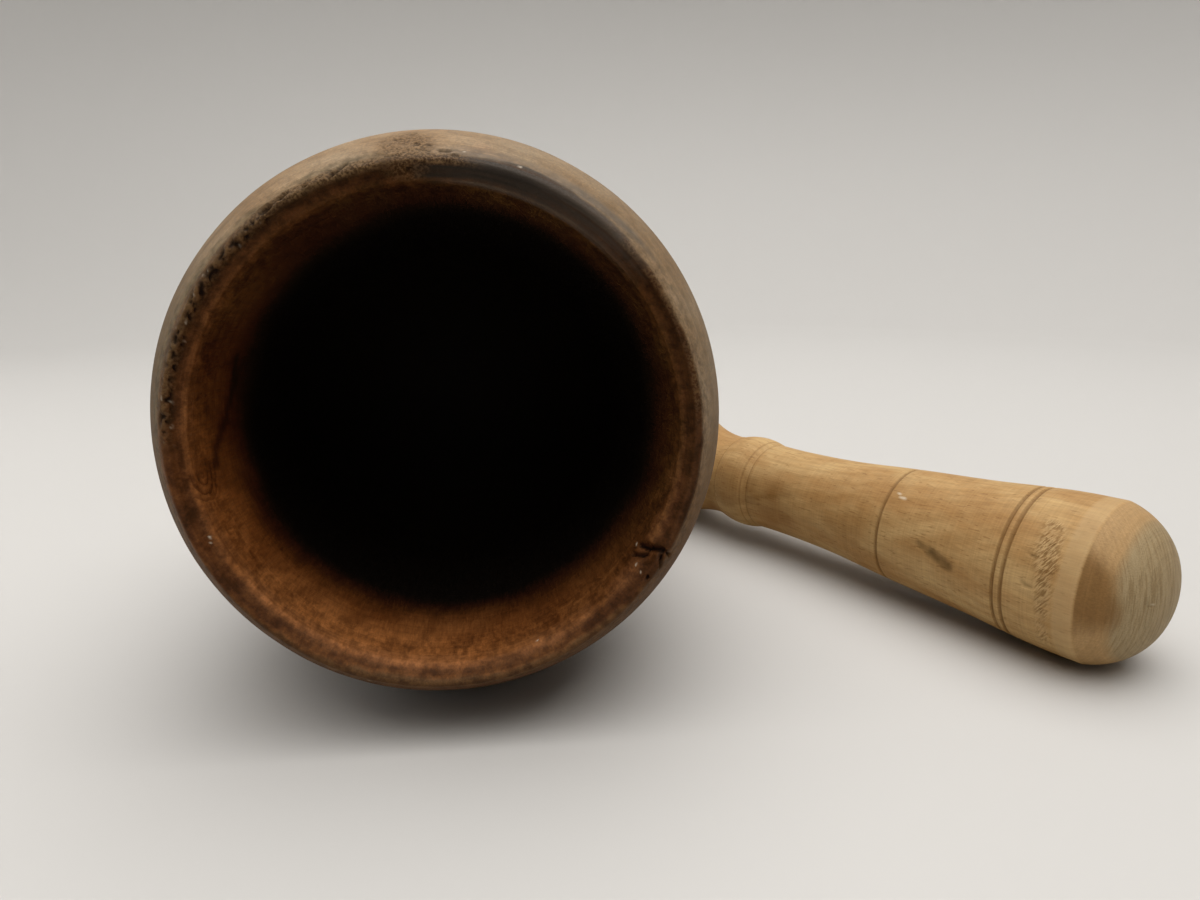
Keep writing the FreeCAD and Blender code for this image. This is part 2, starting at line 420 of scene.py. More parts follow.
    def build(self, name, material, matrix):
        """The piece's mesh in the row frame. Its vertices keep their place in the piece's own frame."""
        own = self.points() * MM
        spun = own @ np.array(matrix.to_3x3()).T + np.array(matrix.translation)
        mesh = bpy.data.meshes.new(name)
        mesh.from_pydata(spun.tolist(), [], self.faces())
        mesh.validate()
        mesh.polygons.foreach_set("use_smooth", [True] * len(mesh.polygons))
        for mask, values in self.masks.items():
            layer = mesh.attributes.new(mask, "FLOAT", "POINT")
            layer.data.foreach_set("value", np.clip(values, 0, 1).astype(np.float32))
        layer = mesh.attributes.new("own_place", "FLOAT_VECTOR", "POINT")
        layer.data.foreach_set("vector", own.astype(np.float32).ravel())
        mesh.materials.append(material)
        mesh.update()
        piece = bpy.data.objects.new(name, mesh)
        bpy.context.scene.collection.objects.link(piece)
        return piece


def smooth(t):
    """A smooth step from 0 to 1."""
    return t * t * (3 - 2 * t)


def lattice_value(cell, seed):
    """A fixed number from -1 to 1 for each cell of a lattice, from its coordinates mixed to 32 bits."""
    mixed = cell[:, 0] * 374761393 + cell[:, 1] * 668265263 + cell[:, 2] * 1440662683 + seed * 974634777
    mixed = mixed & 0xFFFFFFFF
    mixed = ((mixed ^ (mixed >> 13)) * 1274126177) & 0xFFFFFFFF
    return ((mixed ^ (mixed >> 16)) & 0xFFFFFF) / 0x7FFFFF - 1


def value_noise(points, seed):
    """Noise from -1 to 1 that runs smoothly between the lattice's values."""
    cell = np.floor(points).astype(np.int64)
    part = smooth(points - cell)
    total = np.zeros(len(points))
    for corner in np.ndindex(2, 2, 2):
        weight = np.prod(np.where(corner, part, 1 - part), axis=1)
        total += weight * lattice_value(cell + np.array(corner), seed)
    return total


def fractal(points, seed, octaves):
    """Noise from -1 to 1 with finer and weaker noise on top, octave by octave."""
    total = np.zeros(len(points))
    for octave in range(octaves):
        total += value_noise(points * 2**octave, seed + octave) / 2**octave
    return total / (2 - 0.5 ** (octaves - 1))


# ---------------- node materials

DRY_WOOD_SPECULAR = 0.2


class Wood:
    """A node material, written as a formula: each call adds a node and gives back its output."""

    def __init__(self, name):
        self.material = bpy.data.materials.new(name)
        self.material.use_nodes = True
        self.tree = self.material.node_tree
        self.tree.nodes.clear()
        self.place = self.node("ShaderNodeAttribute", {"attribute_name": "own_place"}).outputs["Vector"]

    def node(self, kind, settings=None, inputs=None):
        made = self.tree.nodes.new(kind)
        for key, value in (settings or {}).items():
            setattr(made, key, value)
        for key, value in (inputs or {}).items():
            self.plug(made.inputs[key], value)
        return made

    def plug(self, socket, value):
        if isinstance(value, bpy.types.NodeSocket):
            self.tree.links.new(value, socket)
        else:
            socket.default_value = value

    def math(self, operation, first, second=0.0):
        return self.node("ShaderNodeMath", {"operation": operation}, {0: first, 1: second}).outputs[0]

    def scale(self, value, factor):
        return self.math("MULTIPLY", value, factor)

    def dimmed(self, colour, shade):
        """The colour, darker for a shade under 1 and lighter for one over 1."""
        made = self.node("ShaderNodeVectorMath", {"operation": "SCALE"}, {0: colour, "Scale": shade})
        return made.outputs[0]

    def scaled(self, sizes, source=None):
        """The place on the object, counted in steps of the given sizes in millimetres."""
        steps = tuple(1 / (size * MM) for size in sizes)
        made = self.node("ShaderNodeVectorMath", {"operation": "MULTIPLY"})
        self.plug(made.inputs[0], source or self.place)
        self.plug(made.inputs[1], steps)
        return made.outputs[0]

    def turned_about(self, axis, angle):
        """The place on the object, turned about its x, y or z axis."""
        settings = {"rotation_type": axis + "_AXIS"}
        return self.node("ShaderNodeVectorRotate", settings, {0: self.place, "Angle": angle}).outputs[0]

    def noise(self, sizes, detail=2.0, rough=0.5, source=None):
        """Noise from about 0 to 1 with lumps of the given sizes along x, y and z."""
        inputs = {"Vector": self.scaled(sizes, source), "Scale": 1.0, "Detail": detail, "Roughness": rough}
        return self.node("ShaderNodeTexNoise", None, inputs).outputs["Fac"]

    def ramp(self, value, low, high, to_low=0.0, to_high=1.0):
        """to_low below low, to_high above high, and a smooth step between them."""
        inputs = {0: value, 1: low, 2: high, 3: to_low, 4: to_high}
        settings = {"interpolation_type": "SMOOTHSTEP", "clamp": True}
        return self.node("ShaderNodeMapRange", settings, inputs).outputs[0]

    def mask(self, name):
        """One of the piece's masks, as its mesh stores it."""
        return self.node("ShaderNodeAttribute", {"attribute_name": name}).outputs["Fac"]

    def mix(self, amount, first, second):
        """The first colour, turning into the second as the amount goes from 0 to 1."""
        made = self.node("ShaderNodeMix", {"data_type": "RGBA"}, {0: amount, 6: first, 7: second})
        return made.outputs[2]

    def finish(self, colour, roughness, height, depth):
        """Joins the shader: height is in units of depth, which is in metres."""
        bump = self.node("ShaderNodeBump", None, {"Strength": 1.0, "Distance": depth, "Height": height})
        inputs = {"Base Color": colour, "Roughness": roughness, "Normal": bump.outputs[0]}
        shader = self.node("ShaderNodeBsdfPrincipled", None, inputs)
        shader.inputs["Specular IOR Level"].default_value = DRY_WOOD_SPECULAR
        out = self.node("ShaderNodeOutputMaterial")
        self.tree.links.new(shader.outputs[0], out.inputs[0])
        return self.material


def rgb(red, green, blue):
    return (red, green, blue, 1.0)


# Tones of the mortar's wood, some with painted light and shade, as linear red, green and blue.
TAN_DARK = rgb(0.262, 0.172, 0.096)
TAN_PALE = rgb(0.350, 0.258, 0.166)
TAN_GREYED = rgb(0.245, 0.204, 0.150)
TAN_PINKISH = rgb(0.325, 0.200, 0.122)
TAN_RING = rgb(0.19, 0.120, 0.068)
# Painted shade on the outside: its sides, left and base, lighter on top where light falls.
TAN_SHADED = rgb(0.100, 0.067, 0.035)
# Painted shade on the outside's underside, with a painted warm bounce from the floor.
TAN_UNDERSIDE_SHADE = rgb(0.088, 0.041, 0.016)
# The cavity wall, painted lit on its lower left and shaded on its upper side.
WALL_LIT_DARK = rgb(0.230, 0.085, 0.026)
WALL_LIT_PALE = rgb(0.330, 0.132, 0.046)
WALL_SHADED_DARK = rgb(0.056, 0.027, 0.010)
WALL_SHADED_PALE = rgb(0.100, 0.052, 0.020)
WALL_RING = rgb(0.060, 0.022, 0.007)
WALL_STREAK_TONE = rgb(0.020, 0.009, 0.003)
# Painted shade deep in the cavity.
CAVITY_SHADE = rgb(0.010, 0.0055, 0.0025)
KNOT_TONE = rgb(0.050, 0.016, 0.005)
GRIME = rgb(0.105, 0.078, 0.042)
LIP_HANDLED = rgb(0.050, 0.022, 0.009)
# Rubbed wood on the ridge, with a painted highlight.
RIDGE_RUBBED_AND_LIT = rgb(0.250, 0.112, 0.050)
STAIN_HALO = rgb(0.120, 0.102, 0.084)
STAIN = rgb(0.040, 0.033, 0.027)
TORN_DARK = rgb(0.066, 0.036, 0.015)
TORN_PALE = rgb(0.225, 0.140, 0.072)
PIT = rgb(0.012, 0.006, 0.003)
LIP_FLECK_TONE = rgb(0.50, 0.44, 0.36)

# Tones of the pestle's wood, and the painted light and shade of its scratches.
HONEY_DARK = rgb(0.392, 0.226, 0.092)
HONEY_PALE = rgb(0.520, 0.352, 0.168)
HONEY_RING = rgb(0.290, 0.160, 0.058)
HONEY_FLECK = rgb(0.190, 0.095, 0.034)
HONEY_MOTTLE = rgb(0.260, 0.132, 0.048)
DOME_GREY = rgb(0.355, 0.272, 0.158)
DOME_LINE = rgb(0.225, 0.152, 0.076)
DOME_RING = rgb(0.215, 0.142, 0.070)
DOME_RIM = rgb(0.420, 0.272, 0.132)
DOME_RIM_LINE = rgb(0.300, 0.180, 0.080)
DOME_HEART = rgb(0.200, 0.108, 0.040)
HEAD_PALE = rgb(0.520, 0.370, 0.200)
# Painted shadows of the head's scratches, and paler torn wood with painted highlights.
SCRATCH_SHADOW = rgb(0.185, 0.100, 0.038)
SCRATCH_PALE_AND_HIGHLIGHT = rgb(0.600, 0.415, 0.215)
LINE_DARK = rgb(0.120, 0.058, 0.018)
SMUDGE = rgb(0.055, 0.040, 0.020)
PESTLE_FLECK_TONE = rgb(0.72, 0.66, 0.54)

# Tones of the studio.
FLOOR_WHITE = rgb(0.56, 0.555, 0.546)
WORLD_WARM = rgb(1.0, 0.97, 0.92)


def growth_rings(wood, from_pith, spacing, bend):
    """0 in the pale wood and 1 at each dark ring line, for a distance from the pith bent by noise."""
    place = wood.math("ADD", wood.math("MULTIPLY", from_pith, 1 / (spacing * MM)), bend)
    phase = wood.math("ABSOLUTE", wood.math("SUBTRACT", wood.math("FRACT", place), 0.5))
    return wood.ramp(phase, 0.05, 0.5)


def mortar_knot(wood, x, y, z):
    """How dark a small knot makes the wall: the lower halves of rings round a rod along a radius."""
    far_away = 100.0
    heading = math.radians(KNOT[0])
    sideways = wood.math("SUBTRACT", wood.scale(y, math.cos(heading)), wood.scale(x, math.sin(heading)))
    upward = wood.math("SUBTRACT", z, KNOT[1] * MM)
    squares = wood.math("ADD", wood.math("POWER", sideways, 2.0), wood.math("POWER", upward, 2.0))
    outward = wood.math("ADD", wood.scale(x, math.cos(heading)), wood.scale(y, math.sin(heading)))
    behind = wood.math("MULTIPLY", wood.math("LESS_THAN", outward, 0.0), far_away)
    from_knot = wood.math("ADD", wood.scale(wood.math("SQRT", squares), 1 / MM), behind)
    uneven = wood.math("ADD", wood.scale(from_knot, 0.66), wood.noise((2.5, 2.5, 2.5)))
    lines = wood.ramp(wood.math("FRACT", uneven), 0.35, 0.9)
    dark = wood.math("MULTIPLY", wood.ramp(from_knot, 4.0, 7.5, 0.62, 0.0), lines)
    return wood.math("MULTIPLY", dark, wood.ramp(sideways, -1.5 * MM, 1.5 * MM))


def mortar_material():
    wood = Wood("mortar_wood")
    x, y, z = wood.node("ShaderNodeSeparateXYZ", None, {0: wood.place}).outputs
    off_x = wood.math("ADD", x, -MORTAR_PITH[0])
    off_y = wood.math("ADD", y, -MORTAR_PITH[1])
    squares = wood.math("ADD", wood.math("POWER", off_x, 2.0), wood.math("POWER", off_y, 2.0))
    bend = wood.scale(wood.noise((26, 26, 80), 2.0), 4.5)
    rings = growth_rings(wood, wood.math("SQRT", squares), 4.2, bend)
    fibre = wood.noise((0.45, 0.45, 12), 3.0, 0.6)
    blotch = wood.noise((20, 20, 30), 3.0, 0.55)
    turning = wood.noise((60, 60, 0.5), 2.0, 0.6)
    speck = wood.noise((0.55, 0.55, 0.9), 2.0, 0.6)
    mottle = wood.noise((2.2, 2.2, 2.8), 4.0, 0.65)

    tan = wood.mix(wood.ramp(blotch, 0.32, 0.68), TAN_DARK, TAN_PALE)
    greyed = wood.ramp(wood.noise((30, 30, 45), 2.0), 0.48, 0.70, 0.0, 0.5)
    tan = wood.mix(greyed, tan, TAN_GREYED)
    pinkish = wood.ramp(wood.noise((14, 14, 22), 2.0), 0.55, 0.72, 0.0, 0.45)
    tan = wood.mix(pinkish, tan, TAN_PINKISH)
    tan = wood.mix(wood.ramp(rings, 0.2, 1.0, 0.0, 0.22), tan, TAN_RING)
    # Painted shade: the outside darker on its sides, left and base, and browner underneath with a painted
    # warm bounce.
    tan = wood.mix(wood.scale(wood.mask("shade"), 0.95), tan, TAN_SHADED)
    tan = wood.mix(wood.scale(wood.mask("under"), 0.85), tan, TAN_UNDERSIDE_SHADE)

    # The wall is painted lighter on its lower left, where light falls into the cavity, and darker on its
    # shaded upper side.
    light = wood.mix(wood.ramp(blotch, 0.3, 0.7), WALL_LIT_DARK, WALL_LIT_PALE)
    dark = wood.mix(wood.ramp(blotch, 0.3, 0.7), WALL_SHADED_DARK, WALL_SHADED_PALE)
    inner = wood.mix(wood.mask("lit_wall"), dark, light)
    inner = wood.mix(wood.ramp(rings, 0.3, 1.0, 0.0, 0.28), inner, WALL_RING)
    inner = wood.mix(wood.scale(wood.mask("streak"), 0.7), inner, WALL_STREAK_TONE)
    # Painted shade, darkening the wall down into the cavity.
    inner = wood.mix(wood.mask("deep"), inner, CAVITY_SHADE)
    inner = wood.mix(mortar_knot(wood, x, y, z), inner, KNOT_TONE)

    colour = wood.mix(wood.mask("inside"), tan, inner)
    colour = wood.mix(wood.scale(wood.mask("grime"), 0.7), colour, GRIME)
    colour = wood.mix(wood.mask("lip"), colour, LIP_HANDLED)
    # The ridge's rubbed wood, painted lighter on the lit side as a highlight.
    colour = wood.mix(wood.mask("ridge"), colour, RIDGE_RUBBED_AND_LIT)
    fine = wood.math("ADD", wood.ramp(fibre, 0.3, 0.7, 0.84, 1.16), wood.ramp(turning, 0.3, 0.7, -0.09, 0.09))
    colour = wood.dimmed(colour, fine)
    mottled = wood.math("MULTIPLY", wood.ramp(mottle, 0.32, 0.68, -0.32, 0.32), wood.mask("worn"))
    colour = wood.dimmed(colour, wood.math("ADD", mottled, 1.0))
    colour = wood.mix(wood.scale(wood.mask("halo"), 0.7), colour, STAIN_HALO)
    colour = wood.mix(wood.scale(wood.mask("stain"), 0.95), colour, STAIN)
    torn_tone = wood.mix(wood.ramp(speck, 0.4, 0.6), TORN_DARK, TORN_PALE)
    colour = wood.mix(wood.scale(wood.mask("torn"), 0.75), colour, torn_tone)
    colour = wood.mix(wood.scale(wood.mask("pits"), 0.92), colour, PIT)
    colour = wood.mix(wood.mask("fleck"), colour, LIP_FLECK_TONE)

    rough = wood.ramp(fibre, 0.3, 0.7, 0.60, 0.80)
    height = wood.math("ADD", wood.scale(turning, 0.55), wood.scale(fibre, 0.35))
    ragged = wood.math("MULTIPLY", speck, wood.scale(wood.mask("torn"), 3.0))
    lumpy = wood.math("MULTIPLY", mottle, wood.scale(wood.mask("worn"), 2.2))
    height = wood.math("ADD", wood.math("ADD", height, ragged), lumpy)
    return wood.finish(colour, rough, height, 0.12 * MM)


def pestle_material():
    wood = Wood("pestle_wood")
    x, y = wood.node("ShaderNodeSeparateXYZ", None, {0: wood.place}).outputs[:2]
    layers = wood.math("ADD", x, wood.scale(y, 0.12))
    rings = growth_rings(wood, layers, 2.3, wood.scale(wood.noise((15, 15, 60), 2.0), 3.2))
    fibre = wood.noise((0.32, 0.32, 8), 3.0, 0.6)
    flecks = wood.ramp(wood.noise((0.55, 0.55, 2.4), 1.0, 0.5), 0.62, 0.72)
    blotch = wood.noise((9, 9, 20), 3.0, 0.55)
    turning = wood.noise((40, 40, 0.4), 2.0, 0.6)
    scratch = wood.noise((1.2, 2.2, 0.36), 2.0, 0.6, wood.turned_about("X", SCRATCH_SLANT))

    honey = wood.mix(wood.ramp(blotch, 0.3, 0.7), HONEY_DARK, HONEY_PALE)
    honey = wood.mix(wood.ramp(rings, 0.3, 1.0, 0.0, 0.20), honey, HONEY_RING)
    honey = wood.mix(wood.scale(flecks, 0.40), honey, HONEY_FLECK)
    honey = wood.mix(wood.scale(wood.mask("mottle"), 0.75), honey, HONEY_MOTTLE)
    across_dome = wood.turned_about("Y", DOME_GRAIN_SLANT)
    lines = wood.ramp(wood.noise((0.5, 8, 8), 3.0, 0.6, across_dome), 0.42, 0.64, 0.0, 0.6)
    greyed = wood.mix(lines, DOME_GREY, DOME_LINE)
    greyed = wood.mix(wood.ramp(rings, 0.3, 1.0, 0.0, 0.15), greyed, DOME_RING)
    rim = wood.mix(wood.scale(lines, 0.5), DOME_RIM, DOME_RIM_LINE)
    end = wood.mix(wood.mask("face"), rim, greyed)
    end = wood.mix(wood.scale(wood.mask("heart"), 0.85), end, DOME_HEART)
    colour = wood.mix(wood.mask("end"), honey, end)
    fine = wood.math("ADD", wood.ramp(fibre, 0.3, 0.7, 0.90, 1.10), wood.ramp(turning, 0.3, 0.7, -0.05, 0.05))
    colour = wood.dimmed(colour, fine)
    colour = wood.mix(wood.scale(wood.mask("pale"), 0.45), colour, HEAD_PALE)
    # Painted shadows and highlights of the scratches, over paler torn wood.
    scratch_light_and_shade = wood.mix(wood.ramp(scratch, 0.38, 0.60), SCRATCH_SHADOW, SCRATCH_PALE_AND_HIGHLIGHT)
    colour = wood.mix(wood.scale(wood.mask("torn"), 0.6), colour, scratch_light_and_shade)
    colour = wood.mix(wood.scale(wood.mask("darkened"), 0.62), colour, LINE_DARK)
    colour = wood.mix(wood.scale(wood.mask("smudge"), 0.85), colour, SMUDGE)
    colour = wood.mix(wood.mask("fleck"), colour, PESTLE_FLECK_TONE)

    rough = wood.ramp(fibre, 0.3, 0.7, 0.52, 0.70)
    height = wood.math("ADD", wood.scale(turning, 0.45), wood.scale(fibre, 0.35))
    ragged = wood.math("MULTIPLY", scratch, wood.scale(wood.mask("torn"), 5.0))
    return wood.finish(colour, rough, wood.math("ADD", height, ragged), 0.10 * MM)


# ---------------- the mortar


def mortar_spacing(radius, station):
    """The step to the next row: finest at the lip and coarsest on the flat base."""
    if station > LIP_ROWS_FROM and radius > LIP_MESH_RADIUS:
        return 0.42 if station > LIP_FINEST_FROM else 0.8
    if radius < FOOT_RADIUS - FOOT_BEAD and station < 1:
        return 2.4
    return 1.7 if radius > 20 else 1.9


def mortar_around(radius, station):
    near_lip = station > LIP_VERTICES_FROM and radius > LIP_MESH_RADIUS
    return (832, 0.3) if near_lip else (416, 0.45)


def mortar_piece():
    mortar = Turned(mortar_outline(), mortar_spacing, mortar_around)
    top = mortar.along[np.argmax(mortar.station)]
    tint_cavity(mortar, top)
    tint_outside(mortar, top)
    tint_lip(mortar, top)
    add_torn_grain(mortar, top)
    add_lip_marks(mortar, top)
    add_stain(mortar, top)

    # slow unevenness from turning and drying, except at the foot's lower edge
    mortar.lift += 0.10 * mortar.noise(18.0, 41) - 0.10
    foot_edge = (mortar.out_radius > 0) & (mortar.station < 1)
    mortar.lift[foot_edge] = 0
    return mortar.build("mortar_turned", mortar_material(), mortar_place())


def tint_cavity(mortar, top):
    """Masks: inside, for the cavity's wood, deep, for painted shade down the cavity, and one for painted
    light on the wall's lower left against painted shade on its upper side.
    """
    past = mortar.along - top
    degrees = np.degrees(mortar.angle)
    dark_start = np.interp(degrees, *np.array(DARK_STARTS).T) + 0.8 * mortar.noise(3.0, 3)
    mortar.masks["inside"] = np.clip((past - dark_start) / 1.3, 0, 1)
    depth = MORTAR_HEIGHT - mortar.station
    # Painted shade down the cavity, starting deeper on the upper left, where more light reaches.
    deep_start = 13.0 + 4.0 * mortar.arc_mask(112, 175, 25) - 3.0 * mortar.arc_mask(-20, 85, 25)
    deep_start -= 2.5 * mortar.noise(14.0, 4)
    mortar.masks["deep"] = (past > 0) * smooth(np.clip((depth - deep_start) / 20, 0, 1))
    # Painted light on the wall's lower left and painted shade on its upper side.
    mortar.masks["lit_wall"] = np.minimum(lit_side(mortar) ** 2.4, 0.76)


def lit_side(mortar):
    """1 on the side of the wall painted as lit, falling to 0 on the side painted as shaded."""
    return 0.5 + 0.5 * np.cos(mortar.angle - math.radians(WALL_LIT_MIDDLE))


def tint_outside(mortar, top):
    """Masks: shade, for painted shade on the outside, darker on the sides, the left and the base than on top,
    and under, for painted shade with a painted warm bounce low on it.
    """
    above_base = smooth(np.clip(mortar.station / FOOT_STATION, 0, 1))
    # Painted shade round the outside: least on top and on the right, most on the left.
    brighter = np.maximum(mortar.arc_mask(84, 112, 55), 0.4 * mortar.arc_mask(-15, 45, 25))
    darker = mortar.arc_mask(148, 222, 25)
    shade = 0.40 + above_base * (0.25 - 0.65 * brighter + 0.35 * darker)
    under = 0.3 + above_base * (mortar.arc_mask(210, 325, 45) - 0.3)
    outside = mortar.along - top < OUTSIDE_ENDS
    mortar.masks["shade"] = np.where(outside, shade, 0)
    mortar.masks["under"] = np.where(outside, under, 0)


def tint_lip(mortar, top):
    """Masks: worn, for mottling, lip, for wood dark from handling, ridge, for rubbed wood with a painted
    highlight, stronger on the lit side, and grime.
    """
    mortar.masks["worn"] = 0.35 + 0.65 * mortar.band(top - 3.0, top + 12.0, 5.0)
    patchy = 0.9 + 0.35 * mortar.noise(5.0, 5)
    handled = np.minimum(mortar.masks["inside"], mortar.band(top - 9, top + 3.2, 1.3))
    mortar.masks["lip"] = 0.85 * patchy * handled
    # Painted highlight on the ridge, stronger on the wall's lit side, over rubbed wood.
    rubbed = (0.55 + 0.7 * mortar.noise(5.0, 6)) * (0.35 + 0.65 * lit_side(mortar))
    mortar.masks["ridge"] = 0.6 * rubbed * mortar.band(top + 3.9, top + 6.6, 2.2)
    grime = mortar.arc_mask(100, 172, 14) * mortar.band(top - 4.0, top, 2.4)
    mortar.masks["grime"] = grime * (0.75 + 0.5 * mortar.noise(4.0, 7))
    mortar.masks["lip"] *= 1 - 0.6 * grime


def worm_eaten(mortar, top):
    """1 along the lip's left edge, where it is full of small pits."""
    return mortar.arc_mask(128, 176, 6) * mortar.band(top - 0.4, top + 1.6, 0.9)


def add_torn_grain(mortar, top):
    """Masks: torn, for end grain that is torn at the top of the lip, and pits, for the dark holes in it."""
    edge = mortar.arc_mask(86, 128, 8) * mortar.band(top - 2.6, top + 0.4, 0.9)
    edge = np.maximum(edge, 0.5 * mortar.arc_mask(6, 44, 8) * mortar.band(top - 2.2, top + 0.6, 0.9))
    left_edge = worm_eaten(mortar, top)
    patch = mortar.spot(95.0, top - 6.5, 6.2, 13.0, 2.2)
    ragged = np.clip(0.75 + 0.8 * mortar.noise(2.6, 20, 2), 0, 1)
    torn = np.clip(np.maximum(0.85 * edge, 1.4 * patch) * ragged, 0, 1)
    pits = np.clip(np.maximum(0.4 * edge, 1.4 * patch) * ragged, 0, 1)
    pits *= np.clip((mortar.noise(1.3, 21, 2) - 0.22) / 0.45, 0, 1)
    pits = np.maximum(pits, left_edge * np.clip((mortar.noise(0.95, 22) - 0.02) / 0.3, 0, 1))
    mortar.lift -= 0.55 * pits
    mortar.masks["torn"] = np.maximum(torn, 0.35 * left_edge * ragged)
    mortar.masks["pits"] = np.clip(1.2 * pits, 0, 1)


def add_lip_marks(mortar, top):
    """Wormholes, splits and a chip. Masks: streak, down the wall, and fleck, for pale specks."""
    for degrees, past, half_round, half_along in HOLES:
        add_hollow(mortar, mortar.spot(degrees, top + past, half_round, half_along, 3.0), 1.3)
    for start, end, half_width in SPLITS:
        start, end = (start[0], top + start[1]), (end[0], top + end[1])
        add_hollow(mortar, mortar.stroke(start, end, half_width), 1.0)
    chip = mortar.spot(CHIP[0], top + CHIP[1], 2.6, 3.4, 1.5)
    mortar.lift -= 1.5 * chip
    mortar.masks["lip"] = np.maximum(mortar.masks["lip"], 0.9 * chip)
    places = [(degrees, top + past) for degrees, past in WALL_STREAK]
    strokes = [mortar.stroke(start, end, 1.7) for start, end in zip(places, places[1:])]
    mortar.masks["streak"] = np.max(strokes, axis=0)
    flecks = [mortar.spot(degrees, top + past, size, size) for degrees, past, size in LIP_FLECKS]
    flecks.append(0.5 * worm_eaten(mortar, top) * np.clip((mortar.noise(0.9, 23) - 0.5) / 0.15, 0, 1))
    mortar.masks["fleck"] = np.max(flecks, axis=0)


def add_hollow(turned, hollow, depth):
    """A hollow of the given depth, dark inside."""
    turned.lift -= depth * hollow
    turned.masks["pits"] = np.maximum(turned.masks["pits"], hollow)


def add_stain(mortar, top):
    """Masks: stain, blue-black over the lip and crisp at its left end, and halo, for the grey round it."""
    degrees = np.degrees(mortar.angle)
    streaks = 0.80 + 0.75 * mortar.streaks(0.7, 16.0, 31)
    tail = np.clip((degrees - 38) / 34, 0, 1)
    start = np.clip((94.3 + mortar.noise(2.0, 32) - degrees) / 1.5, 0, 1)
    edge = -1.4 - 2.2 * np.clip(1 - np.abs(degrees - 70) / 16, 0, 1)
    stain = start * tail * mortar.band(top + edge, top + 3.8, 1.0)
    mortar.masks["stain"] = np.clip(stain * streaks, 0, 1)
    halo = mortar.arc_mask(48, 80, 14) * mortar.band(top - 5.5, top + 5.5, 2.4)
    mortar.masks["halo"] = np.clip(halo * streaks, 0, 1)


# ---------------- the pestle


def pestle_spacing(radius, station):
    """The step to the next row: finest across the grooves and at the dome's edge."""
    for groove, _, half_width in GROOVES + BEAD_LINES:
        if abs(station - groove) < 2 * half_width:
            return half_width / 4
    if abs(station) < 2.0 and radius > DOME_EDGE_OUTSIDE:
        return 0.3
    return 1.0 if radius > 6 else 0.8


def pestle_around(radius, station):
    return (320, 0.16)


def pestle_piece():
    pestle = Turned(pestle_outline(), pestle_spacing, pestle_around)
    from_edge = np.abs(pestle.station) + 100 * (pestle.radius < DOME_EDGE_OUTSIDE)
    edge = pestle.along[np.argmin(from_edge)]
    cut_grooves(pestle)
    tint_dome(pestle, edge)
    tint_side(pestle, edge)
    add_smudge(pestle, edge)
    add_scratches(pestle, edge)
    add_crescents(pestle, edge)
    flecks = [pestle.spot(degrees, edge + along, size, size * 1.6) for degrees, along, size in PESTLE_FLECKS]
    pestle.masks["fleck"] = np.max(flecks, axis=0)

    # slow unevenness from turning and drying
    pestle.lift += 0.05 * pestle.noise(12.0, 51) - 0.05
    return pestle.build("pestle_turned", pestle_material(), pestle_place())


def cut_grooves(pestle):
    """The grooves and the bead's fine lines. A mask darkens them, the more so the deeper the groove."""
    side = pestle.radius > SIDE_OUTSIDE
    pestle.masks["darkened"] = np.zeros(len(pestle.angle))
    for station, depth, half_width in GROOVES + BEAD_LINES:
        reach = np.abs(pestle.station - station) / half_width
        cut = np.where(side, np.clip(1 - reach**2, 0, 1), 0)
        pestle.lift -= depth * cut
        pestle.masks["darkened"] = np.maximum(pestle.masks["darkened"], cut * min(1, depth / DEEP_CUT))


def tint_dome(pestle, edge):
    """Masks: end, for the dome's end grain, face, greyed inside its rim, and heart, browner on one side."""
    x = pestle.radius * np.cos(pestle.angle)
    y = pestle.radius * np.sin(pestle.angle)
    wander = 0.8 * pestle.noise(5.0, 52)
    pestle.masks["end"] = smooth(np.clip((edge - 0.6 - pestle.along) / 0.8, 0, 1))
    browner = smooth(np.clip((x + wander - 13.5) / 3.5, 0, 1))
    pestle.masks["heart"] = browner * smooth(np.clip((y + 2 * wander + 9) / 8, 0, 1))
    pestle.masks["face"] = smooth(np.clip((17.4 + wander - pestle.radius) / 2.0, 0, 1))


def tint_side(pestle, edge):
    """Masks: pale, behind the dome's edge, and mottle, low on the bead and the grip."""
    pestle.masks["pale"] = pestle.band(edge - 0.5, edge + 3.2, 0.7)
    low = pestle.arc_mask(300, 380, 24)
    mottled = np.clip(0.5 + 1.2 * pestle.noise(5.0, 53, 2, 1.8), 0, 1)
    pestle.masks["mottle"] = low * mottled * pestle.band(edge + 92, edge + 170, 12)


def add_smudge(pestle, edge):
    """A dark smudge in a shallow hollow, with a fainter tail, and a dark streak near the bead."""
    smudge = 0.9 * pestle.stroke((4.0, edge + 35.5), (357.5, edge + 30.5), 1.8)
    smudge = np.maximum(smudge, 0.55 * pestle.stroke((9.0, edge + 39.5), (4.0, edge + 35.5), 1.1))
    pestle.masks["smudge"] = smudge * (0.8 + 0.4 * pestle.noise(1.6, 54))
    streak = 0.5 * pestle.stroke((358.0, edge + 98.5), (16.0, edge + 84.0), 1.1)
    streak = streak * (0.7 + 0.5 * pestle.noise(1.5, 57))
    pestle.masks["darkened"] = np.maximum(pestle.masks["darkened"], streak)
    pestle.lift -= 0.35 * smudge


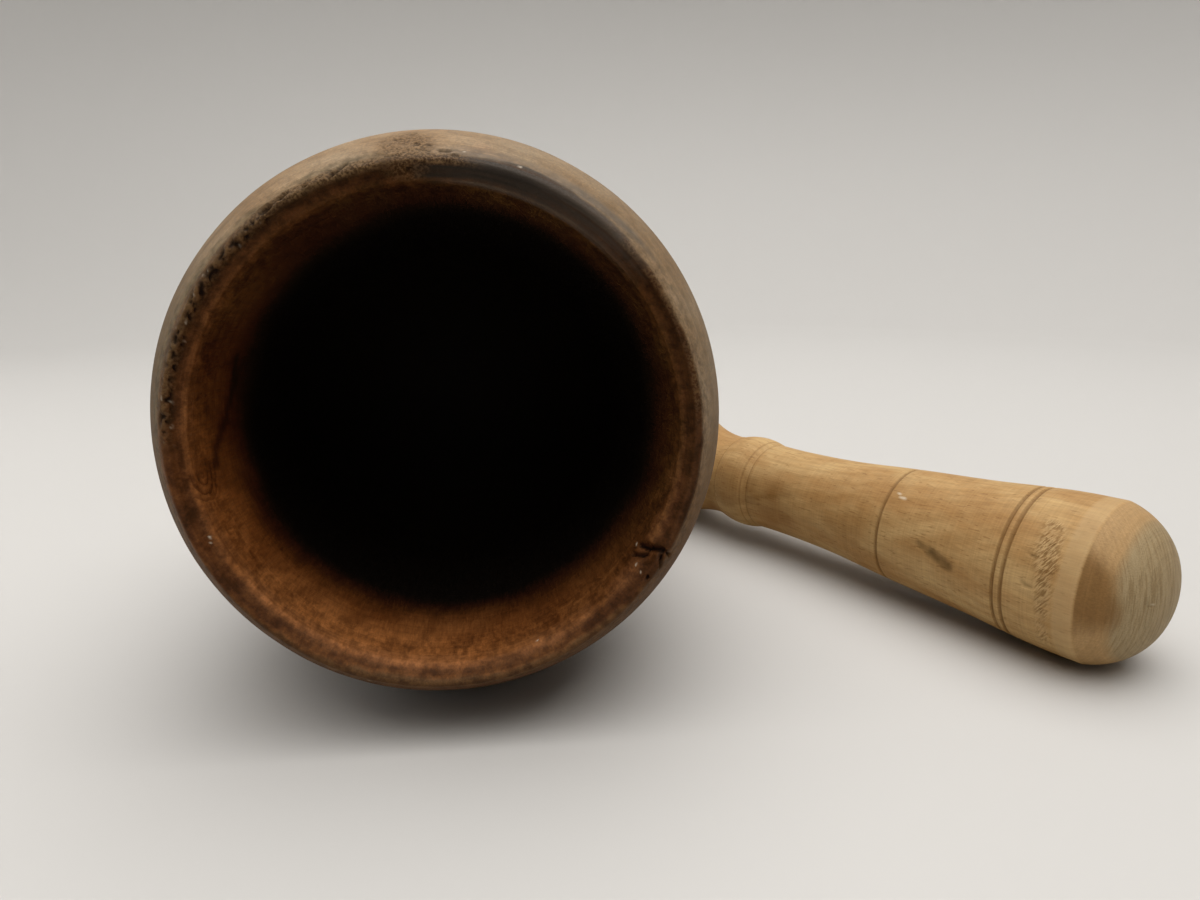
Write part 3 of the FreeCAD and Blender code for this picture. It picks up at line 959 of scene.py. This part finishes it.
def add_scratches(pestle, edge):
    """Mask: torn, for a band of scratched and torn wood part of the way round the head. The material paints
    the scratches' shadows and highlights there.
    """
    ragged = np.clip(0.75 + 1.1 * pestle.noise(2.4, 55, 2), 0, 1)
    torn = pestle.stroke((46, edge + 8.0), (20, edge + 6.5), 3.3)
    torn = np.maximum(torn, pestle.stroke((20, edge + 6.5), (350, edge + 5.6), 2.4))
    torn = np.maximum(torn, 0.6 * pestle.stroke((350, edge + 5.6), (322, edge + 6.0), 1.8))
    pestle.masks["torn"] = np.clip(1.5 * torn * ragged, 0, 1)
    pestle.lift -= 0.22 * pestle.masks["torn"] * (0.6 + pestle.noise(0.9, 56))


def add_crescents(pestle, edge):
    """Crescent dents, each a round dent less another beside it. They are dark like the smudge."""
    for degrees, along, reach in CRESCENTS:
        dent = pestle.spot(degrees, edge + along, reach, reach)
        other = pestle.spot(degrees + 2, edge + along - 0.2 * reach, reach, reach)
        hollow = np.clip(dent - 1.2 * other, 0, 1)
        pestle.lift -= 0.5 * hollow
        pestle.masks["smudge"] = np.maximum(pestle.masks["smudge"], 0.6 * hollow)


# ---------------- placing


def mortar_place():
    """The mortar's own frame, from its base mount: its axis runs from the base to the mouth."""
    base = next(mount for mount in frame["record"]["mounts"] if mount["name"] == "base")
    axis = -Vector(base["axis"])
    tilt = math.asin(axis.z)
    return Matrix.Translation(base["pos_m"]) @ Matrix.Rotation(math.pi / 2 - tilt, 4, "X")


def belly_middle():
    """The middle of the mortar's belly, which the camera, the pestle and the lights are placed from."""
    return mortar_place() @ Vector((0, 0, BELLY_STATION * MM))


def pestle_place():
    """The pestle's own frame. It lies on its head and its grip, so it dips towards the grip."""
    crown, crown_radius = grip_circle()
    fall = HEAD_RADIUS - crown[0]
    dip = math.acos(crown_radius / math.hypot(fall, GRIP_STATION)) - math.atan2(GRIP_STATION, fall)
    level = Vector((math.cos(PESTLE_HEADING), math.sin(PESTLE_HEADING), 0))
    along = level * math.cos(dip) - Vector((0, 0, math.sin(dip)))
    side = Vector((0, 0, 1)).cross(level)
    up = along.cross(side)
    belly = belly_middle()
    head = Vector((belly.x + HEAD_FROM_BELLY[0] * MM, belly.y + HEAD_FROM_BELLY[1] * MM, 0))
    head.z = HEAD_RADIUS * math.cos(dip) * MM
    turned = Matrix((side, up, along)).transposed().to_4x4()
    return Matrix.Translation(head) @ turned


def stand_for(piece, body, node):
    """The piece moves with a body and takes the place of a CAD node, which is hidden."""
    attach(piece, body)
    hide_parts(node)


# ---------------- studio


def plain_material(name, colour, roughness):
    material = bpy.data.materials.new(name)
    material.use_nodes = True
    shader = material.node_tree.nodes["Principled BSDF"]
    shader.inputs["Base Color"].default_value = colour
    shader.inputs["Roughness"].default_value = roughness
    return material


def sweep_backdrop():
    """A pale round floor that curves up into a wall on every side."""
    around = 120
    profile = []
    for turn in np.linspace(-math.pi / 2, 0, 24):
        radius = WALL_REACH - FLOOR_BEND + FLOOR_BEND * math.cos(turn)
        profile.append((radius, FLOOR_BEND + FLOOR_BEND * math.sin(turn)))
    profile.append((WALL_REACH, WALL_HEIGHT))
    points = [(0, FLOOR_MIDDLE, 0)]
    for radius, z in profile:
        for k in range(around):
            turn = k / around * 2 * math.pi
            points.append((radius * math.cos(turn), FLOOR_MIDDLE + radius * math.sin(turn), z))
    faces = [(0, 1 + k, 1 + (k + 1) % around) for k in range(around)]
    for ring in range(len(profile) - 1):
        low, high = 1 + ring * around, 1 + (ring + 1) * around
        for k in range(around):
            after = (k + 1) % around
            faces.append((low + k, high + k, high + after, low + after))
    mesh = bpy.data.meshes.new("floor")
    mesh.from_pydata(points, [], faces)
    mesh.polygons.foreach_set("use_smooth", [True] * len(faces))
    mesh.materials.append(plain_material("floor_white", FLOOR_WHITE, 0.6))
    floor = bpy.data.objects.new("floor", mesh)
    bpy.context.scene.collection.objects.link(floor)


def area_light(name, place, target, size, spread, power, colour):
    data = bpy.data.lights.new(name, "AREA")
    data.shape = "RECTANGLE"
    data.size, data.size_y = size
    data.spread = math.radians(spread)
    data.energy = power
    data.color = colour
    light = bpy.data.objects.new(name, data)
    light.location = place
    light.rotation_euler = (Vector(target) - Vector(place)).to_track_quat("-Z", "Y").to_euler()
    bpy.context.scene.collection.objects.link(light)


def lights():
    """A big soft light overhead, and a weak one low on the left that opens up the mortar's shadow."""
    middle = belly_middle()
    area_light(
        "overhead",
        place=(middle.x + 0.10, middle.y - 0.04, 1.0),
        target=(middle.x + 0.05, middle.y, 0),
        size=(1.8, 1.4),
        spread=125,
        power=12.9,
        colour=(1.0, 0.97, 0.93),
    )
    area_light(
        "left",
        place=(middle.x - 0.55, middle.y + 0.12, 0.30),
        target=(middle.x, middle.y, 0),
        size=(0.4, 0.4),
        spread=180,
        power=0.75,
        colour=(1.0, 0.98, 0.95),
    )
    world = bpy.data.worlds.new("studio")
    world.use_nodes = True
    background = world.node_tree.nodes["Background"]
    background.inputs["Color"].default_value = WORLD_WARM
    background.inputs["Strength"].default_value = WORLD_STRENGTH
    bpy.context.scene.world = world


def camera_response():
    """A plain display with a short toe, so that the deepest shadows go to black as in a photograph."""
    settings = bpy.context.scene.view_settings
    settings.view_transform = "Standard"
    settings.use_curve_mapping = True
    curve = settings.curve_mapping.curves[3]
    for level in TOE_LEVELS:
        curve.points.new(level, level**2 / (level + TOE))
    for point in curve.points:
        point.handle_type = "VECTOR"
    settings.curve_mapping.update()


def camera():
    middle = belly_middle()
    data = bpy.data.cameras.new("camera")
    data.lens = LENS
    data.sensor_width = SENSOR
    data.clip_start = 0.01
    eye = bpy.data.objects.new("camera", data)
    eye.location = (middle.x + CAMERA_OFFSET.x, middle.y + CAMERA_OFFSET.y, CAMERA_HEIGHT)
    eye.rotation_euler = (math.pi / 2 - CAMERA_DIP, 0, -CAMERA_TURN)
    bpy.context.scene.collection.objects.link(eye)
    bpy.context.scene.camera = eye


camera()
stand_for(mortar_piece(), "mortar", "mortar")
stand_for(pestle_piece(), "pestle", "pestle")
sweep_backdrop()
lights()
camera_response()
